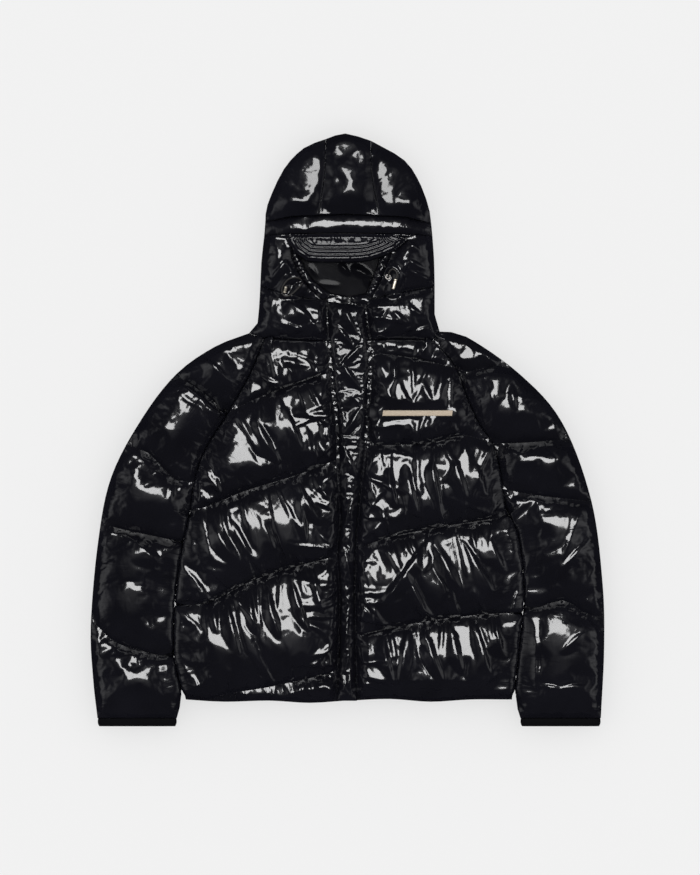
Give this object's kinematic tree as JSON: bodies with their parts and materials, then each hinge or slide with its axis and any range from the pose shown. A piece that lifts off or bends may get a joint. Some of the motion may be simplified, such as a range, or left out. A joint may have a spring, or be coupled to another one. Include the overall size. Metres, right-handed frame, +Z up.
{
  "type": "hooded puffer jacket",
  "caption": "Quilted puffer jacket with a peaked hood, raglan sleeves and a covered zip, laid flat and face up on a surface.",
  "frame": {"origin": "middle of the jacket's outline, on the surface that it lies on", "axes": "+Z up, away from the surface; +Y from the hem to the top of the hood; +X towards the wearer's left side"},
  "size_m": [0.9183, 1.0596, 0.0861],
  "materials": {
    "shell": "wet-look coated nylon, black, very glossy, gathered along its seams",
    "lining": "plain woven black lining, low gloss",
    "binding": "matt black woven tape",
    "cord": "braided black cord, matt",
    "metal": "polished nickel plate",
    "thread": "ecru satin-stitch thread"
  },
  "bodies": {
    "root": {"front_right": "shell", "front_left": "shell", "back": "shell", "sleeve_right_top": "shell", "sleeve_left_top": "shell", "sleeve_right_under": "shell", "sleeve_left_under": "shell", "placket": "shell", "collar_right": "shell", "collar_left": "shell", "hood_side_right": "shell", "hood_side_left": "shell", "hood_channel_right": "shell", "hood_channel_left": "shell", "crown_right": "shell", "crown_centre": "shell", "crown_left": "shell", "hood_band": "shell", "visor": "shell", "hood_back": "shell", "zip": "binding", "cuff_right": "binding", "cuff_left": "binding", "hood_lining": "lining", "chest_bar": "thread", "eyelet_left": "metal", "cord_end_right": "metal", "cord_end_left": "metal", "drawcord_right": "cord", "drawcord_left": "cord"}
  },
  "joints": []
}
